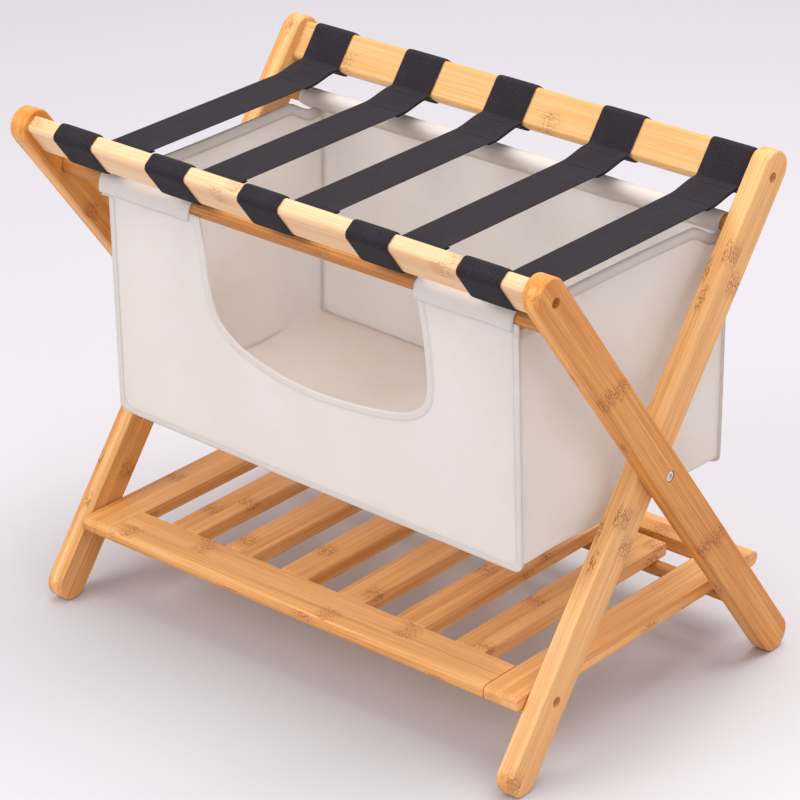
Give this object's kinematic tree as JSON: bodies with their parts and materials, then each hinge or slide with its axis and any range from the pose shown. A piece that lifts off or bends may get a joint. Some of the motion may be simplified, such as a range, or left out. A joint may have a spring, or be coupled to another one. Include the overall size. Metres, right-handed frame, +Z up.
{
  "type": "folding luggage rack",
  "caption": "Folding luggage rack: crossed bamboo frames with webbing straps, a hanging canvas bag and a slatted lower shelf.",
  "frame": {"origin": "on the floor, below the middle of the whole rack; the pivot bolts lie 4.2 mm in front of it", "axes": "+Z up; +X along the rails; -Y towards the front, where the bag's scooped panel hangs"},
  "size_m": [0.66, 0.4206, 0.5354],
  "materials": {
    "bamboo_leg": "satin",
    "bamboo_rail": "satin",
    "bamboo_dowel": "satin",
    "bamboo_shelf": "satin",
    "webbing": "ribbed",
    "canvas": "woven",
    "steel": "polished"
  },
  "bodies": {
    "outer_frame": {"outer_leg_left": "bamboo_leg", "outer_leg_right": "bamboo_leg", "front_top_rail": "bamboo_rail", "front_bag_dowel": "bamboo_dowel", "shelf_crossbar": "bamboo_dowel", "pivot_bolt_left": "steel", "pivot_bolt_right": "steel", "pivot_washer_left": "steel", "pivot_washer_right": "steel", "front_rail_screw_left": "steel", "front_rail_screw_right": "steel", "strap_1_front_loop": "webbing", "strap_2_front_loop": "webbing", "strap_3_front_loop": "webbing", "strap_4_front_loop": "webbing", "strap_5_front_loop": "webbing", "strap_1_span": "webbing", "strap_2_span": "webbing", "strap_3_span": "webbing", "strap_4_span": "webbing", "strap_5_span": "webbing"},
    "inner_frame": {"inner_leg_left": "bamboo_leg", "inner_leg_right": "bamboo_leg", "back_top_rail": "bamboo_rail", "back_bag_dowel": "bamboo_dowel", "sleeve_nut_left": "steel", "sleeve_nut_right": "steel", "back_rail_screw_left": "steel", "back_rail_screw_right": "steel", "shelf_pivot_screw_left": "steel", "shelf_pivot_screw_right": "steel", "strap_1_back_loop": "webbing", "strap_2_back_loop": "webbing", "strap_3_back_loop": "webbing", "strap_4_back_loop": "webbing", "strap_5_back_loop": "webbing"},
    "shelf": {"shelf_front_rail": "bamboo_shelf", "shelf_back_board": "bamboo_shelf", "shelf_stile_left": "bamboo_shelf", "shelf_stile_right": "bamboo_shelf", "shelf_slat_1": "bamboo_shelf", "shelf_slat_2": "bamboo_shelf", "shelf_slat_3": "bamboo_shelf", "shelf_slat_4": "bamboo_shelf", "shelf_slat_5": "bamboo_shelf", "shelf_slat_6": "bamboo_shelf"},
    "bag_front": {"bag_front_panel": "canvas", "bag_end_left": "canvas", "bag_end_right": "canvas", "bag_bottom": "canvas"},
    "bag_back": {"bag_back_panel": "canvas"}
  },
  "joints": [
    {"name": "fold", "type": "hinge", "parent": "outer_frame", "child": "inner_frame", "pos_m": [0, -0.00273, 0.2701], "axis": [1, 0, 0], "range_deg": [0, 66], "deforming": ["strap_1_span", "strap_2_span", "strap_3_span", "strap_4_span", "strap_5_span"]},
    {"name": "shelf_tilt", "type": "hinge", "parent": "inner_frame", "child": "shelf", "pos_m": [0, -0.14443, 0.08138], "axis": [1, 0, 0], "range_deg": [0, 43]},
    {"name": "bag_front_swing", "type": "hinge", "parent": "outer_frame", "child": "bag_front", "pos_m": [0, -0.15044, 0.46682], "axis": [1, 0, 0], "range_deg": [0, 33.1], "deforming": ["bag_end_left", "bag_end_right", "bag_bottom"]},
    {"name": "bag_back_swing", "type": "hinge", "parent": "inner_frame", "child": "bag_back", "pos_m": [0, 0.14497, 0.46682], "axis": [1, 0, 0], "range_deg": [-33.1, 0]}
  ],
  "couplings": [
    {"joint": "shelf_tilt", "follows": "fold", "ratio": 0.65},
    {"joint": "bag_front_swing", "follows": "fold", "ratio": 0.5},
    {"joint": "bag_back_swing", "follows": "fold", "ratio": -0.5}
  ]
}
